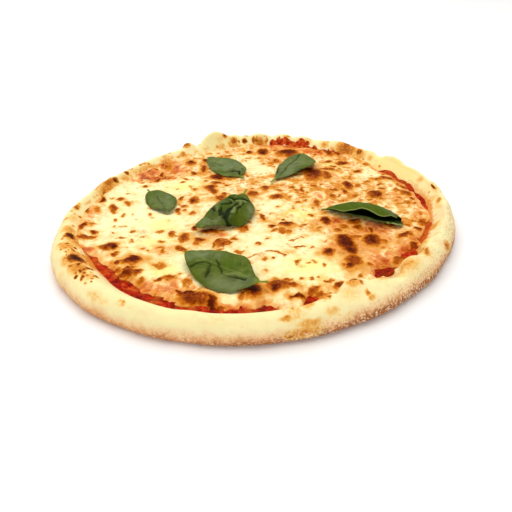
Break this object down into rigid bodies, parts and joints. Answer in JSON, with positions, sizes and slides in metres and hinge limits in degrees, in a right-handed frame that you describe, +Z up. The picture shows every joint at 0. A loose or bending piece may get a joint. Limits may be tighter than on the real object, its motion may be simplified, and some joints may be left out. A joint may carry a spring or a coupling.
{
  "type": "margherita pizza",
  "caption": "Round uncut pizza with a raised uneven crust, tomato sauce, browned melted cheese and fresh basil leaves.",
  "frame": {"origin": "middle of the underside: the centre of the outline's box, on the flat face that rests on the table", "axes": "+Z up through the toppings, -Y toward the side that the picture shows nearest, +X to that view's right"},
  "size_m": [0.2884, 0.287, 0.0245],
  "materials": {
    "crust": "baked wheat dough, dull with a faint satin on the bubbles",
    "sauce": "wet tomato sauce",
    "cheese": "melted mozzarella, oily, with browned blisters",
    "basil": "fresh leaf, waxy satin"
  },
  "bodies": {
    "root": {"crust": "crust", "sauce": "sauce", "cheese": "cheese", "basil_front": "basil", "basil_centre": "basil", "basil_left": "basil", "basil_back_left": "basil", "basil_back_right": "basil", "basil_right": "basil"}
  },
  "joints": []
}
